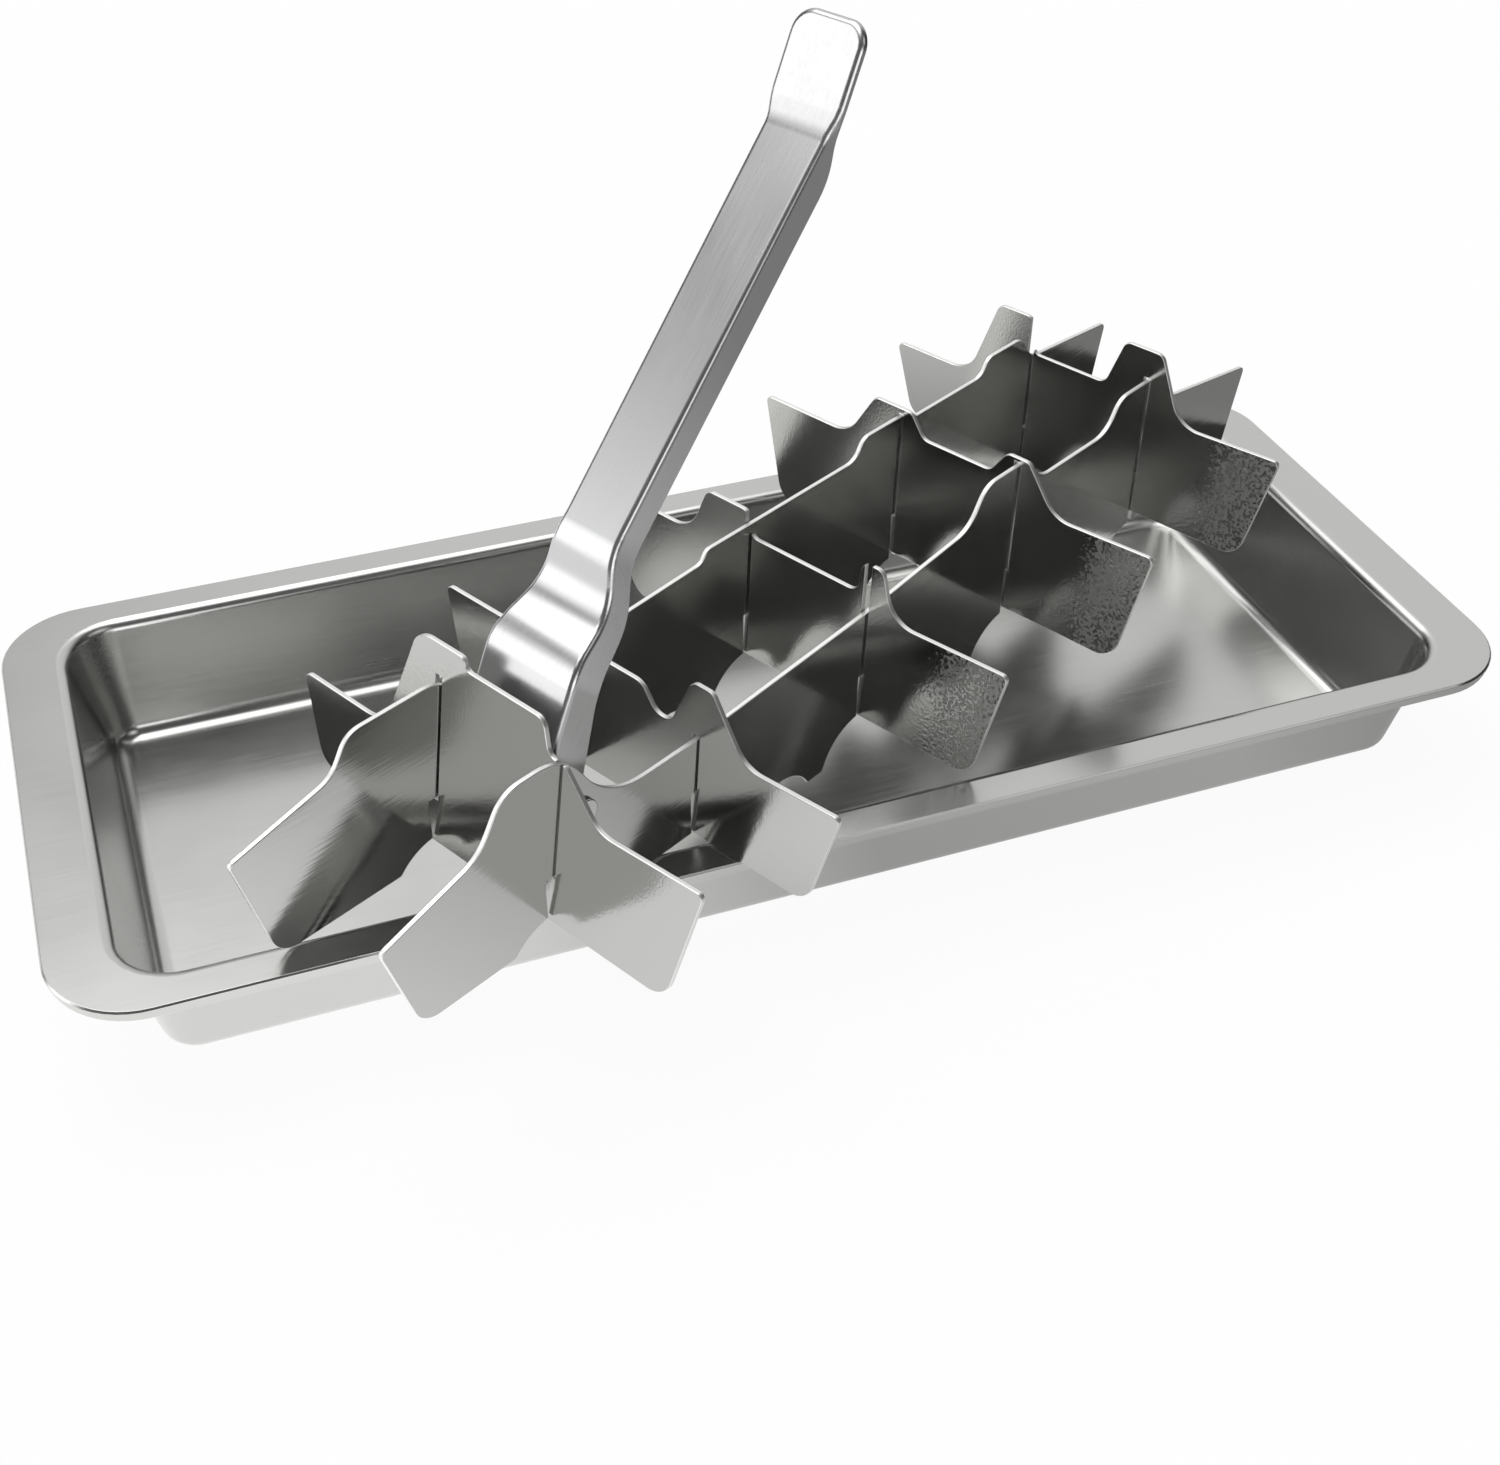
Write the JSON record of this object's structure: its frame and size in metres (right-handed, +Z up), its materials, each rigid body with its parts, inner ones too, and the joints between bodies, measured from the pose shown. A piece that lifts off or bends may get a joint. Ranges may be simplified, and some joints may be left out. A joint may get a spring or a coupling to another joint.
{
  "type": "ice cube tray",
  "caption": "Stainless steel ice cube tray with a removable divider grid and a loosening lever, the grid lying across the pan's rim.",
  "frame": {"origin": "centre of the tray's underside, on the surface that it stands on", "axes": "+X along the tray, +Y across it and away from the lever's side of the picture, +Z up"},
  "size_m": [0.285, 0.1653, 0.1562],
  "materials": {
    "drawn_steel": "satin drawn stainless steel sheet",
    "divider_steel": "bright rolled stainless steel sheet",
    "polished_steel": "satin polished stainless steel pressing",
    "pin_steel": "bright turned stainless steel"
  },
  "bodies": {
    "tray": {"tray_pan": "drawn_steel"},
    "grid_frame": {"long_divider_near": "divider_steel", "long_divider_far": "divider_steel", "pivot_pin": "pin_steel"},
    "lever": {"lever": "polished_steel"},
    "cross_divider_1": {"cross_divider_1": "divider_steel"},
    "cross_divider_2": {"cross_divider_2": "divider_steel"},
    "cross_divider_3": {"cross_divider_3": "divider_steel"},
    "cross_divider_4": {"cross_divider_4": "divider_steel"},
    "cross_divider_5": {"cross_divider_5": "divider_steel"}
  },
  "joints": [
    {"name": "grid_lift", "type": "slide", "parent": "tray", "child": "grid_frame", "axis": [0, 0, 1], "range_m": [0, 0.06]},
    {"name": "lever_pivot", "type": "hinge", "parent": "grid_frame", "child": "lever", "pos_m": [-0.05958, -0.04772, 0.0483], "axis": [-0.4602, 0.8878, 0], "range_deg": [0, 44]},
    {"name": "cross_divider_1_rock", "type": "hinge", "parent": "grid_frame", "child": "cross_divider_1", "pos_m": [-0.06703, -0.05158, 0.0293], "axis": [-0.4602, 0.8878, 0], "range_deg": [-8.95, 0.05]},
    {"name": "cross_divider_2_rock", "type": "hinge", "parent": "grid_frame", "child": "cross_divider_2", "pos_m": [-0.03614, -0.03557, 0.0263], "axis": [-0.4602, 0.8878, 0], "range_deg": [-4.75, 0.05]},
    {"name": "cross_divider_3_rock", "type": "hinge", "parent": "grid_frame", "child": "cross_divider_3", "pos_m": [0.0047, -0.0144, 0.0263], "axis": [-0.4602, 0.8878, 0], "range_deg": [-3.05, 0.05]},
    {"name": "cross_divider_4_rock", "type": "hinge", "parent": "grid_frame", "child": "cross_divider_4", "pos_m": [0.04554, 0.00677, 0.0278], "axis": [-0.4602, 0.8878, 0], "range_deg": [-2.05, 0.05]},
    {"name": "cross_divider_5_rock", "type": "hinge", "parent": "grid_frame", "child": "cross_divider_5", "pos_m": [0.08638, 0.02794, 0.0295], "axis": [-0.4602, 0.8878, 0], "range_deg": [-1.05, 0.05]}
  ],
  "couplings": [
    {"joint": "cross_divider_1_rock", "follows": "lever_pivot", "ratio": -0.20227},
    {"joint": "cross_divider_2_rock", "follows": "lever_pivot", "ratio": -0.10682},
    {"joint": "cross_divider_3_rock", "follows": "lever_pivot", "ratio": -0.068182},
    {"joint": "cross_divider_4_rock", "follows": "lever_pivot", "ratio": -0.045455},
    {"joint": "cross_divider_5_rock", "follows": "lever_pivot", "ratio": -0.022727}
  ]
}
